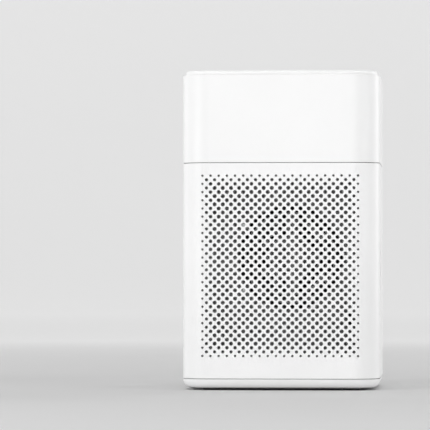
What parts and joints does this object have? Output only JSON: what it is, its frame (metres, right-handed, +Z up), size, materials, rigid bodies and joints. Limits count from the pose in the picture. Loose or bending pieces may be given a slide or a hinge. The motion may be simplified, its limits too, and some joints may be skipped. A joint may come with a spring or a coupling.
{
  "type": "air purifier",
  "caption": "Small upright air purifier with a perforated front cover, fan and motor inside, a rear filter drawer, top outlet grille and touch-size push buttons.",
  "frame": {"origin": "centre of the footprint, on the surface the feet stand on", "axes": "+Z up, front towards -Y, right side towards +X"},
  "size_m": [0.208, 0.208, 0.3362],
  "materials": {
    "shell_white": "fine satin moulded white",
    "grille_white": "fine satin moulded white",
    "inner_grey": "moulded light grey",
    "fan_grey": "moulded charcoal",
    "strip_gloss": "gloss overlay",
    "button_white": "satin",
    "lens": "clear light pipe",
    "rubber_grey": "matt",
    "foam": "closed-cell foam",
    "screw_steel": "zinc plated",
    "motor_steel": "plated sheet",
    "shaft_steel": "ground",
    "bearing_steel": "polished",
    "stator_core": "laminations with windings",
    "rotor_ferrite": "dark ferrite",
    "magnet_nickel": "nickel plated",
    "board_green": "solder mask",
    "black_plastic": "fine matt",
    "pin_brass": "plated",
    "filter_card": "stiff board",
    "filter_paper": "pleated glass paper",
    "carbon_black": "granular carbon honeycomb",
    "lead_black": "insulated lead",
    "lead_white": "insulated lead"
  },
  "bodies": {
    "housing": {"base_tray": "shell_white", "feet": "rubber_grey", "base_screws": "screw_steel", "rear_shell": "shell_white", "catch_plates": "motor_steel", "bulkhead": "inner_grey", "inlet_guard": "inner_grey", "bulkhead_screws": "screw_steel", "guard_screws": "screw_steel", "dust_sensor": "black_plastic", "scroll_housing": "inner_grey", "duct_seal": "foam", "motor_plate": "motor_steel", "motor_grommets": "rubber_grey", "motor_screws": "screw_steel", "motor_can": "motor_steel", "motor_bearings": "bearing_steel", "stator": "stator_core", "upper_shell": "shell_white", "upper_screws": "screw_steel", "filter_ceiling": "inner_grey", "top_panel": "shell_white", "outlet_grille": "grille_white", "control_strip": "strip_gloss", "indicator_lenses": "lens", "control_board": "board_green", "push_switches": "black_plastic", "board_screws": "screw_steel", "power_board": "board_green", "power_inlet": "black_plastic", "inlet_pins": "pin_brass", "mains_lead": "lead_black", "motor_lead": "lead_white", "panel_lead": "lead_white", "sensor_lead": "lead_white"},
    "front_cover": {"front_cover": "shell_white", "cover_magnets": "magnet_nickel"},
    "fan": {"fan_wheel": "fan_grey", "hub_cap": "inner_grey", "motor_shaft": "shaft_steel", "rotor_magnet": "rotor_ferrite"},
    "filter_drawer": {"filter_drawer": "shell_white", "filter_frame": "filter_card", "carbon_layer": "carbon_black", "hepa_pleats": "filter_paper", "filter_seal": "foam"},
    "power_button": {"power_button": "button_white"},
    "speed_button": {"speed_button": "button_white"},
    "timer_button": {"timer_button": "button_white"},
    "night_button": {"night_button": "button_white"}
  },
  "joints": [
    {"name": "fan_spin", "type": "hinge", "parent": "housing", "child": "fan", "pos_m": [0.0085, 0, 0.1395], "axis": [0, 1, 0], "continuous": true},
    {"name": "cover_pull", "type": "slide", "parent": "housing", "child": "front_cover", "axis": [0, -1, 0], "range_m": [0, 0.12]},
    {"name": "drawer_pull", "type": "slide", "parent": "housing", "child": "filter_drawer", "axis": [0, 1, 0], "range_m": [0, 0.205]},
    {"name": "power_press", "type": "slide", "parent": "housing", "child": "power_button", "axis": [0, 0, -1], "range_m": [0, 0.0008], "stiffness_N_per_m": 400, "springref_m": -0.0006},
    {"name": "speed_press", "type": "slide", "parent": "housing", "child": "speed_button", "axis": [0, 0, -1], "range_m": [0, 0.0008], "stiffness_N_per_m": 400, "springref_m": -0.0006},
    {"name": "timer_press", "type": "slide", "parent": "housing", "child": "timer_button", "axis": [0, 0, -1], "range_m": [0, 0.0008], "stiffness_N_per_m": 400, "springref_m": -0.0006},
    {"name": "night_press", "type": "slide", "parent": "housing", "child": "night_button", "axis": [0, 0, -1], "range_m": [0, 0.0008], "stiffness_N_per_m": 400, "springref_m": -0.0006}
  ]
}
